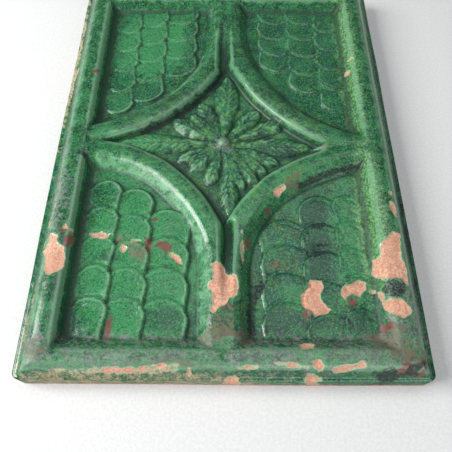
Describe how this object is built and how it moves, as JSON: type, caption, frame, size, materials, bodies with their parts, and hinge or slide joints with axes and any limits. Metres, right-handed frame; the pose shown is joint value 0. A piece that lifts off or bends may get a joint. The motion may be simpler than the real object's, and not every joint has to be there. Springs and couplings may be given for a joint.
{
  "type": "relief stove tile",
  "caption": "Rectangular green-glazed stove tile with a raised frame, curved ribs round a leafy star, and corner fields of overlapping scales.",
  "frame": {"origin": "middle of the flat back, where the tile is bedded on the stove", "axes": "+Z out of the face, +Y up the tile, +X to the right as the face is seen upright"},
  "size_m": [0.2, 0.271, 0.019],
  "materials": {
    "glazed_clay": "gloss"
  },
  "bodies": {
    "root": {"tile": "glazed_clay"}
  },
  "joints": []
}
